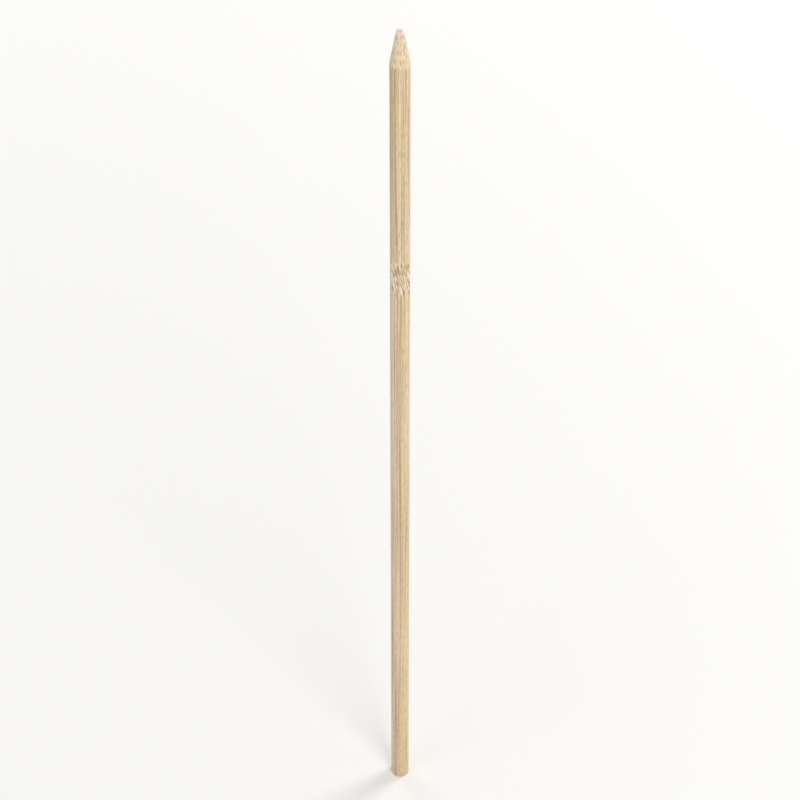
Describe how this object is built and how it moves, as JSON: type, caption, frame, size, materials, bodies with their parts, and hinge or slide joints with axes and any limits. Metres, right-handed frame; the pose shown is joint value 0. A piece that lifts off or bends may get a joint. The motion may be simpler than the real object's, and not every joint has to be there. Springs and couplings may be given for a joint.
{
  "type": "wooden skewer",
  "caption": "Round bamboo skewer: a straight stick with a conical point, a small blunt tip and a square-cut butt end.",
  "frame": {"origin": "centre of the square-cut butt end", "axes": "+Z along the stick's axis, from the butt end to the point"},
  "size_m": [0.005, 0.005, 0.3],
  "materials": {
    "bamboo": "matte"
  },
  "bodies": {
    "root": {"skewer": "bamboo"}
  },
  "joints": []
}
